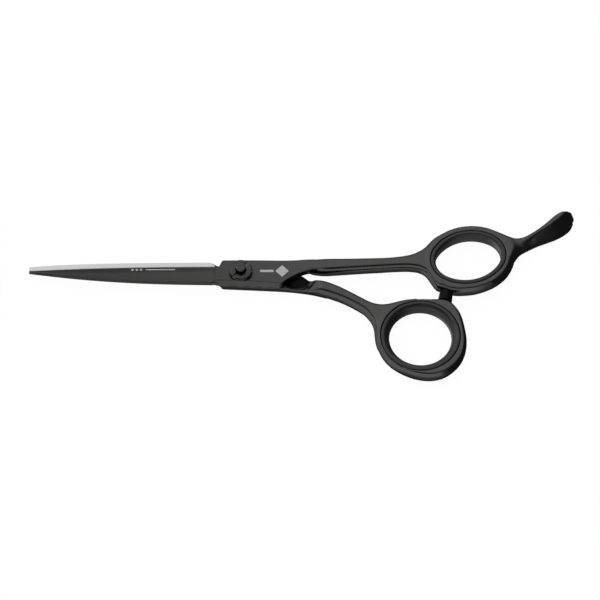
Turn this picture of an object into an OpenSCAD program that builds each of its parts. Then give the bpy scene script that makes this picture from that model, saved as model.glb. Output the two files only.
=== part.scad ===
// Hair cutting shears: two forged halves with an offset handle, a keyed pivot
// bolt with a slotted tension nut, rubber ring inserts and a rubber bumper.
// Frame: the origin is on the pivot axis, midway between the halves' riding faces.
// +X runs to the handles, +Y from the thumb ring to the finger ring, and +Z
// through the finger half to the tension nut. The shears are drawn closed.

/* [Blades] */
// Pivot axis to the blade tips
blade_reach = 66.9; // [58:0.1:80]
// Height of the cutting edge above the pivot line at the heel
edge_y = 3.2; // [3:0.05:3.4]
// Blade thickness at the heel
blade_t = 1.5; // [1.2:0.05:1.8]
// Blade thickness at the tip
tip_t = 0.8; // [0.6:0.05:1]
// Gap between the two riding faces
ride_gap = 0.08; // [0.06:0.01:0.12]

/* [Pivot block and shanks] */
// Pivot axis to the step where the blades meet the block
heel_x = 8.3; // [7.8:0.1:9]
// Height of the finger half's block above the riding plane
block_front = 2.4; // [2.2:0.05:2.6]
// Depth of the thumb half's block below the riding plane
block_back = 2.3; // [2.2:0.05:2.6]
// Full thickness of both shanks
shank_t = 4.9; // [4.6:0.1:5.2]

/* [Rings] */
// Full thickness of both rings
ring_t = 5.2; // [5.2:0.1:5.6]
// Thumb ring throat centre, along X
thumb_x = 56.2; // [55.8:0.1:56.6]
// Thumb ring throat centre, along Y
thumb_y = -23.1; // [-23.5:0.1:-22.8]
// Thumb ring, outer radius
thumb_r = 14.1; // [13.8:0.1:14.5]
// Thumb ring insert, throat radius
thumb_throat = 9.7; // [9.4:0.05:9.9]
// Finger ring centre, along X
finger_x = 71.8; // [71.4:0.1:72.2]
// Finger ring centre, along Y
finger_y = 5.35; // [5.15:0.1:5.55]
// Finger ring insert, half the throat's length
finger_a = 10.4; // [10.1:0.1:10.7]
// Finger ring insert, half the throat's width
finger_b = 7.85; // [7.65:0.1:8.05]
// Turn of the finger ring's long axis from +X
finger_tilt = 15; // [12:1:18]
// Rubber and steel together, from the finger ring's throat to its outside
finger_wall = 3.8; // [3.6:0.1:4]
// Rubber thickness of the finger ring insert, from throat to seat
finger_insert_w = 1.2; // [1.1:0.05:1.3]
// Rubber thickness of the thumb ring insert, from throat to seat
thumb_insert_w = 2.2; // [2:0.05:2.3]

/* [Pivot hardware] */
// Pivot bolt journal diameter
journal_d = 4.0; // [3.8:0.1:4.2]
// Radial running clearance in the bush and on the thread
running = 0.04; // [0.02:0.01:0.08]
// Pivot bolt thread diameter
thread_d = 3.2; // [3:0.1:3.4]
// Thread lead
thread_lead = 0.5; // [0.35:0.05:0.5]
// Tension nut diameter
nut_d = 7.4; // [7.2:0.1:7.6]
// Tension nut disc thickness
nut_t = 1.0; // [0.9:0.05:1.2]
// Turn of the nut's slot from +X
slot_turn = 49; // [0:1:180]
// Pivot bolt head diameter
head_d = 7.0; // [6.6:0.1:7.2]
// Pivot bolt end, height above the nut
bolt_out = 1.7; // [0.5:0.1:2]

/* [Bumper] */
// Bumper base centre, along X
bumper_x = 64.1; // [63.8:0.1:64.4]
// Bumper base centre, along Y
bumper_y = -9.9; // [-10.1:0.1:-9.8]
// Lean of the bumper from +Y towards +X
bumper_lean = 9; // [6:1:12]
// Bumper diameter at its base
bumper_d = 4.5; // [4.2:0.1:4.8]

/* [Hidden] */
$fn = 96;

coat = "#3c3c3b";
steel = "#c4c4c0";
rubber = "#181819";

face_z = ride_gap / 2;          // riding face of the finger half
loose = 0.05;                   // clearance between pieces that don't turn
far = 200;                      // longer than the whole object
rebate_w = 0.5;                 // lip seats in both faces of a ring
rebate_t = 0.65;
insert_t = ring_t - 0.2;
ring_round = 1.3;               // outer edge radius of both rings
ring_shift = [0.4, -0.35];      // the thumb ring's outside is off its throat centre
shank_bevel = [0.9, 1.1];       // bevel of the shanks' edges, across and in height

// Oval ring: two end arcs and two side arcs that share their tangents
end_r = 0.8 * finger_b;
side_r = (finger_a * finger_a + finger_b * finger_b - 2 * finger_a * end_r)
    / (2 * (finger_b - end_r));
join_turn = atan2(side_r - finger_b, finger_a - end_r);

// Pivot stack, from the thumb half up to the nut
washer_t = 0.5;
glide_floor = -face_z - washer_t;
head_t = 0.8;
head_floor = -block_back + head_t + loose;
neck_w = journal_d + 0.2;
bush_d = journal_d + 1.4;
bore_floor = block_front / 2;
flange_t = 0.3;
flange_d = 6.6;
spring_z = bore_floor + flange_t + 0.01;
spring_t = 0.22;
spring_h = 0.44;
thrust_z = spring_z + spring_h + 0.01;
thrust_t = 0.33;
hub_z = thrust_z + thrust_t + 0.01;
rim_gap = thread_lead / 4 + 0.1; // lets the nut tighten by a quarter turn
rim_z = block_front + rim_gap;
nut_top = rim_z + nut_t;
bolt_top = nut_top + bolt_out;

// Bumper direction and length; it stops just short of the finger ring
stud_d = 2;
stud_in = 3.1;
stud_out = 2.4;
bumper_dir = [sin(bumper_lean), cos(bumper_lean)];
bumper_gap = 0.35;
side_centre = [finger_x, finger_y]
    + (side_r - finger_b) * [-sin(finger_tilt), cos(finger_tilt)];
to_side = side_centre - [bumper_x, bumper_y];
along = to_side * bumper_dir;
ring_reach = side_r + finger_wall;
bumper_h = along - sqrt(ring_reach * ring_reach - to_side * to_side + along * along)
    - bumper_gap;

// Point between p1 and p2 on the smooth curve through p0, p1, p2 and p3
function smooth(p0, p1, p2, p3, t) = 0.5 * (2 * p1 + (p2 - p0) * t
    + (2 * p0 - 5 * p1 + 4 * p2 - p3) * pow(t, 2)
    + (3 * p1 - p0 - 3 * p2 + p3) * pow(t, 3));

// Smooth open curve through the points in p
function curve(p, n = 5) = [
    for (i = [0 : len(p) - 2], k = [0 : n - 1])
        smooth(p[max(i - 1, 0)], p[i], p[i + 1], p[min(i + 2, len(p) - 1)], k / n),
    p[len(p) - 1]
];

// One side of a blade, which goes from its heel value to its tip value with a
// power of the fraction of reach
function blade_side(heel, tip, power) = [
    for (f = [0.08 : 0.0766 : 1]) [-blade_reach * f, heel + (tip - heel) * pow(f, power)]
];
function backwards(p) = [for (i = [len(p) - 1 : -1 : 0]) p[i]];

// Oval at a distance out from the finger ring's throat, without repeated points
oval_steps = 16;
function oval_arc(centre, r, from, to) = [
    for (k = [0 : oval_steps - 1]) let (a = from + (to - from) * k / oval_steps)
        centre + r * [cos(a), sin(a)]
];
function oval(out) = concat(
    oval_arc([finger_a - end_r, 0], end_r + out, -join_turn, join_turn),
    oval_arc([0, finger_b - side_r], side_r + out, join_turn, 180 - join_turn),
    oval_arc([end_r - finger_a, 0], end_r + out, 180 - join_turn, 180 + join_turn),
    oval_arc([0, side_r - finger_b], side_r + out, 180 + join_turn, 360 - join_turn));

// Steel ring section as [distance from the throat, height], outer edges rounded
function ring_profile(wall) = concat(
    [[0, ring_t / 2], [0, -ring_t / 2]],
    [for (a = [-90 : 30 : 0]) [wall - ring_round + ring_round * cos(a),
        ring_round - ring_t / 2 + ring_round * sin(a)]],
    [for (a = [0 : 30 : 90]) [wall - ring_round + ring_round * cos(a),
        ring_t / 2 - ring_round + ring_round * sin(a)]]);

// Rubber insert section: a straight land at the throat, flared to lips that
// sit in the rebates of the steel ring
land = 1.0;
lip_z = ring_t / 2 - rebate_t + loose;
function insert_half(w, s) = let (lip = w + rebate_w) [
    [w, s * lip_z], [lip, s * lip_z], [lip, s * (insert_t / 2 - 0.3)],
    [lip - 0.3, s * insert_t / 2], [lip - 0.6, s * insert_t / 2],
    [lip - 0.9, s * (insert_t / 2 - 0.15)], [0, s * land]
];
function insert_profile(w) = concat(insert_half(w, 1), backwards(insert_half(w, -1)));

// Flat piece from z0 up to z1
module slab(z0, z1) {
    translate([0, 0, z0]) linear_extrude(z1 - z0) children();
}

module disc(d, z0, z1) {
    slab(z0, z1) circle(d = d);
}

module at_finger_ring() {
    translate([finger_x, finger_y, 0]) rotate(finger_tilt) children();
}

module at_thumb_ring() {
    translate([thumb_x, thumb_y, 0]) children();
}

module at_bumper() {
    translate([bumper_x, bumper_y, 0]) rotate([-90, 0, -bumper_lean]) children();
}

// Bar with bevelled edges between two lists of points, upper and lower side
function bar_section(u, l) = let (
    across = (l - u) / norm(l - u) * shank_bevel[0],
    h = shank_t / 2,
    b = h - shank_bevel[1],
    c = u + across,
    d = l - across
) [[u[0], u[1], -b], [u[0], u[1], b], [c[0], c[1], h], [d[0], d[1], h],
    [l[0], l[1], b], [l[0], l[1], -b], [d[0], d[1], -h], [c[0], c[1], -h]];

module bar(upper, lower) {
    n = 8;
    m = len(upper);
    end = (m - 1) * n;
    polyhedron(
        points = [for (i = [0 : m - 1]) each bar_section(upper[i], lower[i])],
        faces = concat(
            [for (j = [1 : n - 2]) [0, j, j + 1]],
            [for (j = [1 : n - 2]) [end, end + j + 1, end + j]],
            [for (i = [0 : n : end - n], j = [0 : n - 1]) [i + (j + 1) % n, i + j, i + n + j]],
            [for (i = [0 : n : end - n], j = [0 : n - 1])
                [i + n + (j + 1) % n, i + (j + 1) % n, i + n + j]]));
}

// Ring of a given section around the oval throat
module oval_ring(profile) {
    n = len(profile);
    m = 4 * oval_steps;
    polyhedron(
        points = [for (p = profile) for (q = oval(p[0])) [q[0], q[1], p[1]]],
        faces = [for (j = [0 : n - 1], i = [0 : m - 1]) [
            j * m + i, ((j + 1) % n) * m + i,
            ((j + 1) % n) * m + (i + 1) % m, j * m + (i + 1) % m]]);
}

// Side profile that thins a blade from the heel to the tip
module blade_taper(side) {
    rotate([90, 0, 0]) translate([0, 0, -far / 2]) linear_extrude(far)
        polygon([
            [0, side * face_z], [0, side * (face_z + blade_t)],
            [-heel_x, side * (face_z + blade_t)],
            [-blade_reach - 1, side * (face_z + tip_t)],
            [-blade_reach - 1, side * face_z]
        ]);
}

// Wedge that grinds the bevel towards a cutting edge
module bevel_cut(side) {
    bevel_w = 2.6;
    grind = atan2(edge_y - 1.35, blade_reach);
    rotate([90, 0, 90 + grind]) translate([0, 0, -far]) linear_extrude(far)
        polygon([
            [edge_y - bevel_w, side * (face_z + blade_t)],
            [edge_y + 0.15, side * (face_z + 0.15)],
            [edge_y + 4, side * (face_z + 0.15)],
            [edge_y + 4, side * (face_z + blade_t + 1)],
            [edge_y - bevel_w, side * (face_z + blade_t + 1)]
        ]);
}

// Blade and block outlines
finger_blade = concat(backwards(blade_side(-3.8, 0.4, 2.6)),
    blade_side(edge_y, 1.6, 2.6));
thumb_blade = concat(backwards(blade_side(-2.4, 1.05, 1.5)),
    blade_side(4.8, 2.9, 3));
finger_block = concat(
    [[-heel_x, -3.7], [-heel_x, 1.6], [-7.2, 1.9], [-6.9, 2.3], [-6.2, 3.8], [-5.6, 4.15]],
    curve([[-2, 4.2], [5, 4.2], [13, 4.25], [17, 4.4], [20, 4.8], [25, 5.2]]),
    curve([[25, 1.4], [21.8, 0.6], [18.7, -0.5], [15.6, -2.2], [12.4, -4.8]]),
    [[0, -4.3], [-6.3, -4.05]]);
thumb_block = concat(
    [[-heel_x - 0.7, -2.3], [-heel_x - 0.7, 1.7], [-7.2, 1.9], [-6.9, 2.3], [-6.2, 3.7], [-5.6, 4.1]],
    curve([[5, 4.1], [10.5, 4], [13.2, 3.4], [15.6, 2.2], [18, 0.6], [20.1, -0.9],
        [21.8, -1.9], [23.7, -2.6]]),
    curve([[23.7, -6.4], [18, -5.4], [12.4, -4.85], [0, -4.2], [-5.4, -3.95]]),
    [[-6, -3.7], [-6.8, -2.7], [-7.6, -2.35]]);

// Upper and lower sides of the shanks, which the ring bores clear of the throats
finger_upper = curve([[18, 4.4], [20.5, 4.9], [24, 5.2], [28, 5.35], [34, 5.35], [40.6, 5.5],
    [47, 5.75], [51.5, 6.3], [54.5, 7.2], [57.5, 8.9], [60, 11.4], [63.5, 14.1]], 3);
finger_lower = curve([[19.2, 2.8], [21.8, 1.2], [24.5, 0.5], [28, 0.4], [34, 0.85],
    [40.6, 1.3], [47, 1.75], [52, 1.95], [56, 1.4], [58.3, 0], [60.6, -3.1], [62.3, -5.6]], 3);
thumb_upper = curve([[22.2, -2.1], [25, -2.6], [28, -3.5], [31.5, -5.2], [35, -7.1],
    [38.8, -9.4], [41.5, -10.8], [44.4, -11.3], [47.5, -10.9], [50.5, -10.1], [54, -9.7]], 3);
thumb_lower = curve([[22.2, -6.3], [24.8, -7], [27.4, -7.9], [30.5, -9], [33.1, -10.2],
    [35.8, -11.8], [38.6, -13.9], [40.7, -16.5], [41.8, -19.9], [42.3, -23.5], [43.2, -27]], 3);
finger_rest = concat(
    curve([[80, 14.9], [83.4, 12.8], [85.5, 12.3], [88, 12.4], [91, 13.5], [94.5, 16.5],
        [97, 18.7], [100.4, 21.2], [102.6, 21.8], [104.1, 20.6], [104, 18.6], [101.4, 15],
        [98, 12.9], [94, 11.6], [90.5, 10.2], [88, 8.2], [85, 2.8]]),
    [[finger_x, finger_y]]);
rest_x = 105;
rest_t = 2.6;

module finger_half() {
    color(coat) difference() {
        union() {
            difference() {
                intersection() {
                    slab(0, block_front) polygon(finger_blade);
                    blade_taper(1);
                }
                bevel_cut(1);
            }
            slab(face_z, block_front) polygon(finger_block);
            bar(finger_upper, finger_lower);
            intersection() {
                slab(-shank_t / 2, shank_t / 2) polygon(finger_rest);
                rotate([90, 0, 0]) translate([0, 0, -far / 2]) linear_extrude(far)
                    polygon([[finger_x, -shank_t / 2], [rest_x, -rest_t / 2],
                        [rest_x, rest_t / 2], [finger_x, shank_t / 2]]);
            }
            at_finger_ring() oval_ring(ring_profile(finger_wall));
        }
        at_finger_ring() {
            slab(-far / 2, far / 2) polygon(oval(finger_insert_w + loose));
            for (s = [-1, 1]) translate([0, 0, s * (ring_t / 2 - rebate_t + far / 2)])
                slab(-far / 2, far / 2) polygon(oval(finger_insert_w + rebate_w + loose));
        }
        disc(bush_d + 0.02, -far / 2, far / 2);
        disc(flange_d + 2 * loose, bore_floor, far / 2);
    }
}

module thumb_half() {
    boss_d = bumper_d + 0.7;
    seat_r = thumb_throat + thumb_insert_w + loose;
    inner_r = thumb_throat + 1;
    color(coat) difference() {
        union() {
            difference() {
                intersection() {
                    slab(-block_back, 0) polygon(thumb_blade);
                    blade_taper(-1);
                }
                mirror([0, 1, 0]) translate([0, 1.2, 0]) bevel_cut(-1);
            }
            slab(-block_back, -face_z) polygon(thumb_block);
            bar(thumb_upper, thumb_lower);
            at_thumb_ring() translate(ring_shift) rotate_extrude() translate([inner_r, 0])
                polygon(ring_profile(thumb_r - inner_r));
            at_bumper() translate([0, 0, -4.5]) cylinder(h = 4.5, d1 = boss_d, d2 = bumper_d);
        }
        at_thumb_ring() {
            disc(2 * seat_r, -far / 2, far / 2);
            for (s = [-1, 1]) translate([0, 0, s * (ring_t / 2 - rebate_t + far / 2)])
                disc(2 * (seat_r + rebate_w), -far / 2, far / 2);
        }
        disc(nut_d + 2 * loose, glide_floor, 0);
        slab(-far / 2, 0) square(neck_w + 2 * loose, center = true);
        disc(head_d + 2 * loose, -far / 2, head_floor);
        at_bumper() translate([0, 0, -stud_in - 0.1])
            cylinder(h = far, d = stud_d + 2 * loose, $fn = 48);
    }
}

// Flush head, square neck held by the thumb half, journal and threaded end
module pivot_bolt() {
    end_t = 0.25;
    color(coat) {
        disc(head_d, -block_back + loose, head_floor);
        slab(head_floor, glide_floor) square(neck_w, center = true);
        disc(journal_d, glide_floor, spring_z);
        disc(thread_d, spring_z, bolt_top - end_t);
        translate([0, 0, bolt_top - end_t])
            cylinder(h = end_t, d1 = thread_d, d2 = thread_d - 3 * end_t);
    }
}

// Flanged sleeve in the finger half
module pivot_bush() {
    color("#b08d4f") difference() {
        union() {
            disc(bush_d, face_z, bore_floor + flange_t);
            disc(flange_d, bore_floor, bore_floor + flange_t);
        }
        disc(journal_d + 2 * running, -far / 2, far / 2);
    }
}

// Low friction washer between the halves, in the thumb half's recess
module glide_washer() {
    color("#e8e6dc") difference() {
        disc(nut_d, glide_floor, face_z - 0.02);
        disc(journal_d + 2 * loose, -far / 2, far / 2);
    }
}

// Coned spring that keeps the halves pressed together
module disc_spring() {
    outer = flange_d / 2 - 0.15;
    inner = journal_d / 2 + 0.15;
    color(steel) translate([0, 0, spring_z]) rotate_extrude()
        polygon([[outer, 0], [outer, spring_t], [inner, spring_h], [inner, spring_h - spring_t]]);
}

module thrust_washer() {
    color(steel) difference() {
        disc(flange_d - 0.2, thrust_z, thrust_z + thrust_t);
        disc(thread_d + 2 * running, -far / 2, far / 2);
    }
}

// Round nut with a screwdriver slot; its hub presses on the thrust washer
module tension_nut() {
    rim_round = 0.25;
    slot_w = 1.0;
    slot_t = 0.55;
    color(coat) difference() {
        union() {
            disc(flange_d - 0.6, hub_z, rim_z);
            disc(nut_d, rim_z, nut_top - rim_round);
            translate([0, 0, nut_top - rim_round])
                cylinder(h = rim_round, d1 = nut_d, d2 = nut_d - 2 * rim_round);
        }
        disc(thread_d + 2 * running, -far / 2, far / 2);
        disc(thread_d + 1.6, 0, hub_z + 0.5);
        rotate(slot_turn) slab(nut_top - slot_t, nut_top + 1)
            square([2 * nut_d, slot_w], center = true);
    }
}

// Nylon ring inside the nut that stops it from turning by itself
module nut_lock_ring() {
    color("#d8d8d4") difference() {
        disc(thread_d + 1.58, hub_z + 0.02, hub_z + 0.48);
        disc(thread_d + 2 * running, -far / 2, far / 2);
    }
}

module finger_ring_insert() {
    color(rubber) at_finger_ring() oval_ring(insert_profile(finger_insert_w));
}

module thumb_ring_insert() {
    color(rubber) at_thumb_ring() rotate_extrude() translate([thumb_throat, 0])
        polygon(insert_profile(thumb_insert_w));
}

// Threaded stud that holds the bumper on the thumb ring's boss
module bumper_stud() {
    color(steel) at_bumper() translate([0, 0, -stud_in])
        cylinder(h = stud_in + stud_out, d = stud_d, $fn = 48);
}

module bumper_cap() {
    color(rubber) at_bumper() difference() {
        union() {
            cylinder(h = bumper_h - 0.3, d1 = bumper_d, d2 = bumper_d - 0.5);
            translate([0, 0, bumper_h - 0.3])
                cylinder(h = 0.3, d1 = bumper_d - 0.5, d2 = bumper_d - 1);
        }
        translate([0, 0, -1])
            cylinder(h = 1 + stud_out + 0.1, d = stud_d + 2 * loose, $fn = 48);
    }
}

finger_half();
thumb_half();
pivot_bolt();
pivot_bush();
glide_washer();
disc_spring();
thrust_washer();
tension_nut();
nut_lock_ring();
finger_ring_insert();
thumb_ring_insert();
bumper_stud();
bumper_cap();
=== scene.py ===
"""Hair cutting shears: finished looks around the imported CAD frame.

Shapes are worked out in millimetres, in the frame of the CAD model, and turned
into metres when a mesh is made. The two forged halves are blended solids, meshed
from a distance function, with ground blades, bores and seats cut in afterwards.
"""
import math

import bmesh
import bpy
import numpy as np
import openvdb
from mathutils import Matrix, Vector


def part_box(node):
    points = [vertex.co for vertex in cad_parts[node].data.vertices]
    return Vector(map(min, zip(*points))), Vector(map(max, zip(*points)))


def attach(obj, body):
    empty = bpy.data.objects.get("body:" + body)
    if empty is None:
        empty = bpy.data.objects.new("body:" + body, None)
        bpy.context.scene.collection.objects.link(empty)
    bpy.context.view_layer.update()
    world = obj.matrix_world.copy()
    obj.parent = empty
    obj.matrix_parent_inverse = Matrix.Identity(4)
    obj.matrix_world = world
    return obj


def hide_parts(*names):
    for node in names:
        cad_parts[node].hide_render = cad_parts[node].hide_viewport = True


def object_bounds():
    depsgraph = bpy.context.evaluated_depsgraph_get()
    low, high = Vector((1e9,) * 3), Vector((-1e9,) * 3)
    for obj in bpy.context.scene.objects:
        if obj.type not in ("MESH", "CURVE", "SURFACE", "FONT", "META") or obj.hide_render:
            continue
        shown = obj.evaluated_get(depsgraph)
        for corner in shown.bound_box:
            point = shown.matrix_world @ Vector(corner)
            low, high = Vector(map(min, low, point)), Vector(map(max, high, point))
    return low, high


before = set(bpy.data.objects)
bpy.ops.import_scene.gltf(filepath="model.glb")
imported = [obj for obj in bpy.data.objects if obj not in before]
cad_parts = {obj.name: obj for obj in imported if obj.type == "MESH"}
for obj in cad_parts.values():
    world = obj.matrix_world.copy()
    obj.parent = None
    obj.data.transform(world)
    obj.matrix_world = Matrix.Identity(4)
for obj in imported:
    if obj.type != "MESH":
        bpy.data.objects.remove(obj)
cad_lo, cad_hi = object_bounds()

MM = 0.001


# ---------------------------------------------------------------- frame sizes
def box_mm(node):
    lo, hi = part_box(node)
    return np.array(lo) / MM, np.array(hi) / MM


def centre_mm(node):
    lo, hi = box_mm(node)
    return (lo + hi) / 2


THUMB = centre_mm("thumb_ring_insert")[:2]
FINGER = centre_mm("finger_ring_insert")[:2]
REACH = -box_mm("finger_half")[0][0]            # pivot to blade tips
NUT_LO, NUT_HI = box_mm("tension_nut")
BOLT_LO, BOLT_HI = box_mm("pivot_bolt")
NUT_R = (NUT_HI[0] - NUT_LO[0]) / 2
HEAD_R = (BOLT_HI[0] - BOLT_LO[0]) / 2
FLANGE_R = box_mm("pivot_bush")[1][0]
FLANGE_TOP = box_mm("pivot_bush")[1][2]
WASHER_R = box_mm("glide_washer")[1][0]
WASHER_FLOOR = box_mm("glide_washer")[0][2]

RIDE = 0.04          # each riding face stands this far from the riding plane
FRONT = 2.4          # front face of the finger half's block
BACK = -2.3          # back face of the thumb half's block
SHANK_HALF = 2.45    # half the thickness of both shanks
RING_HALF = 2.58     # the same for both rings
HEEL = 8.3           # pivot to the step between block and blade
TILT = math.radians(15)
THROAT_A, THROAT_B = 10.4, 7.85     # finger ring throat, half length and width
THROAT_R = 9.7                      # thumb ring throat


# ------------------------------------------------------------------- outlines
def smooth_curve(points, spacing=0.25, closed=False):
    """Catmull-Rom curve through the points, sampled evenly within each span."""
    p = np.array(points, float)
    n = len(p)
    spans = n if closed else n - 1
    out = []
    for i in range(spans):
        if closed:
            a, b, c, d = (p[(i + k) % n] for k in (-1, 0, 1, 2))
        else:
            a, b, c, d = p[max(i - 1, 0)], p[i], p[i + 1], p[min(i + 2, n - 1)]
        steps = max(1, int(np.linalg.norm(c - b) / spacing))
        for t in np.arange(steps) / steps:
            out.append(0.5 * (2 * b + (c - a) * t + (2 * a - 5 * b + 4 * c - d) * t ** 2
                              + (3 * b - a - 3 * c + d) * t ** 3))
    if not closed:
        out.append(p[-1])
    return np.array(out)


def soft_max(a, b, k):
    """Larger of two fields, with the corner between them rounded over k."""
    h = np.maximum(k - np.abs(a - b), 0) / k
    return np.maximum(a, b) + h * h * k / 4


def soft_min(a, b, k):
    return -soft_max(-a, -b, k)


class Outline:
    """Signed distance to a closed outline, negative inside, kept on a fine grid."""

    CELL = 0.1
    LIMIT = 4.0      # distances beyond this aren't worked out

    def __init__(self, points):
        p = np.array(points, float)
        pad = self.LIMIT + 2 * self.CELL
        self.lo = p.min(0) - pad
        self.n = np.ceil((p.max(0) + pad - self.lo) / self.CELL).astype(int) + 1
        xs = self.lo[0] + self.CELL * np.arange(self.n[0])
        ys = self.lo[1] + self.CELL * np.arange(self.n[1])
        dist = np.full(self.n, self.LIMIT)
        inside = np.zeros(self.n, bool)
        for a, b in zip(p, np.roll(p, -1, 0)):
            low, high = np.minimum(a, b) - self.LIMIT, np.maximum(a, b) + self.LIMIT
            i0, j0 = np.floor((low - self.lo) / self.CELL).astype(int).clip(0)
            i1, j1 = np.ceil((high - self.lo) / self.CELL).astype(int) + 1
            x, y = xs[i0:i1, None], ys[None, j0:j1]
            ab = b - a
            t = ((x - a[0]) * ab[0] + (y - a[1]) * ab[1]) / max(ab @ ab, 1e-12)
            t = t.clip(0, 1)
            d = np.hypot(x - a[0] - t * ab[0], y - a[1] - t * ab[1])
            dist[i0:i1, j0:j1] = np.minimum(dist[i0:i1, j0:j1], d)
            rows = np.nonzero((ys >= min(a[1], b[1])) & (ys < max(a[1], b[1])))[0]
            if len(rows):
                cross = a[0] + (ys[rows] - a[1]) / ab[1] * ab[0]
                inside[:, rows] ^= xs[:, None] < cross[None, :]
        self.map = np.where(inside, -dist, dist)

    def __call__(self, x, y):
        u = ((x - self.lo[0]) / self.CELL).clip(0, self.n[0] - 1.001)
        v = ((y - self.lo[1]) / self.CELL).clip(0, self.n[1] - 1.001)
        i, j = u.astype(int), v.astype(int)
        fu, fv = u - i, v - j
        m = self.map
        return ((m[i, j] * (1 - fu) + m[i + 1, j] * fu) * (1 - fv)
                + (m[i, j + 1] * (1 - fu) + m[i + 1, j + 1] * fu) * fv)


# The finger ring's throat is an oval of two end arcs and two side arcs
END_R = 0.8 * THROAT_B
SIDE_R = ((THROAT_A ** 2 + THROAT_B ** 2 - 2 * THROAT_A * END_R)
          / (2 * (THROAT_B - END_R)))
JOIN = math.atan2(SIDE_R - THROAT_B, THROAT_A - END_R)


def oval_distance(x, y):
    """Distance out from the finger ring's throat."""
    dx, dy = x - FINGER[0], y - FINGER[1]
    u = np.abs(dx * math.cos(TILT) + dy * math.sin(TILT))
    v = np.abs(dy * math.cos(TILT) - dx * math.sin(TILT))
    ue = u - (THROAT_A - END_R)
    end = np.hypot(ue, v) - END_R
    side = np.hypot(u, v + SIDE_R - THROAT_B) - SIDE_R
    return np.where(v * math.cos(JOIN) < ue * math.sin(JOIN), end, side)


def circle_distance(x, y):
    """Distance out from the thumb ring's throat."""
    return np.hypot(x - THUMB[0], y - THUMB[1]) - THROAT_R


def pillow(d, z, side, crown, power):
    """Bar or ring with rounded sides and a level crown, from its outline distance."""
    a = np.maximum(1 + d / side, 0)
    return ((a ** power + (np.abs(z) / crown) ** power) ** (1 / power) - 1) * side


# ------------------------------------------------------------ solids to meshes
VOXEL = 0.21
BAND = 2 * VOXEL             # the grid keeps distances this far on both sides of the surface
PROBE = 0.02                 # step that a field's slope is measured over
SETTLE_ROUNDS = 3


def mesh_field(name, field, lo, hi):
    """Meshes the zero surface of field(x, y, z) and settles it onto that surface."""
    n = np.ceil((np.array(hi) - lo) / VOXEL).astype(int) + 1
    x, y, z = (lo[k] + VOXEL * np.arange(n[k]) for k in range(3))
    values = field(x[:, None, None], y[None, :, None], z[None, None, :])
    grid = openvdb.FloatGrid(BAND)
    grid.copyFromArray(np.clip(values, -BAND, BAND).astype(np.float32))
    points, quads = grid.convertToQuads(isovalue=0.0)
    p = points.astype(float) * VOXEL + lo
    for _ in range(SETTLE_ROUNDS):
        f = field(p[:, 0], p[:, 1], p[:, 2])
        slope = np.stack([field(*(p + PROBE * axis).T) - field(*(p - PROBE * axis).T)
                          for axis in np.eye(3)], 1) / (2 * PROBE)
        steepness = np.maximum((slope * slope).sum(1), 0.05)
        move = -(f / steepness)[:, None] * slope
        length = np.linalg.norm(move, axis=1, keepdims=True)
        p += move * np.minimum(1, 0.5 * VOXEL / np.maximum(length, 1e-9))
    mesh = bpy.data.meshes.new(name)
    mesh.from_pydata((p * MM).tolist(), [], quads.tolist())
    mesh.validate()
    obj = bpy.data.objects.new(name, mesh)
    bpy.context.scene.collection.objects.link(obj)
    face_outwards(obj)
    return obj


def face_outwards(obj):
    bm = bmesh.new()
    bm.from_mesh(obj.data)
    bmesh.ops.recalc_face_normals(bm, faces=bm.faces)
    bm.to_mesh(obj.data)
    bm.free()


def add_mesh(name, points_mm, faces):
    mesh = bpy.data.meshes.new(name)
    mesh.from_pydata((np.array(points_mm) * MM).tolist(), [], faces)
    obj = bpy.data.objects.new(name, mesh)
    bpy.context.scene.collection.objects.link(obj)
    face_outwards(obj)
    return obj


def loft(name, rings, closed=False):
    """Closed skin through rings of equal point counts; ends are capped unless closed."""
    rings = np.array(rings)
    m, n = rings.shape[:2]
    faces = []
    for i in range(m if closed else m - 1):
        k = (i + 1) % m
        for j in range(n):
            faces.append([i * n + j, i * n + (j + 1) % n, k * n + (j + 1) % n, k * n + j])
    if not closed:
        faces.append(list(range(n)))
        faces.append([(m - 1) * n + j for j in range(n)])
    return add_mesh(name, rings.reshape(-1, 3), faces)


def lathe(name, profile, origin=(0, 0, 0), axis=(0, 0, 1), steps=96):
    """Turned piece: profile is a closed list of (radius, height) with radius above 0."""
    axis = Vector(axis).normalized()
    turn = axis.to_track_quat("Z", "Y").to_matrix()
    rings = []
    for k in range(steps):
        a = 2 * math.pi * k / steps
        ring = [Vector((r * math.cos(a), r * math.sin(a), h)) for r, h in profile]
        rings.append([list(turn @ p + Vector(origin)) for p in ring])
    return loft(name, rings, closed=True)


def rounded(points, radii, steps=5):
    """Outline with each corner rounded to its own radius."""
    p = [np.array(q, float) for q in points]
    out = []
    for i, q in enumerate(p):
        r = radii[i] if isinstance(radii, (list, tuple)) else radii
        a, b = p[i - 1] - q, p[(i + 1) % len(p)] - q
        la, lb = np.linalg.norm(a), np.linalg.norm(b)
        a, b = a / la, b / lb
        half = 0.5 * math.acos(max(-1, min(1, float(a @ b))))
        if r <= 0 or half > 1.55:
            out.append(q)
            continue
        cut = min(r / math.tan(half), 0.48 * la, 0.48 * lb)
        r = cut * math.tan(half)
        mid = q + (a + b) / np.linalg.norm(a + b) * r / math.sin(half)
        s, e = q + a * cut - mid, q + b * cut - mid
        s0, s1 = math.atan2(s[1], s[0]), math.atan2(e[1], e[0])
        turn = (s1 - s0 + math.pi) % (2 * math.pi) - math.pi
        for k in range(steps + 1):
            t = s0 + turn * k / steps
            out.append(mid + r * np.array([math.cos(t), math.sin(t)]))
    return out


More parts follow.
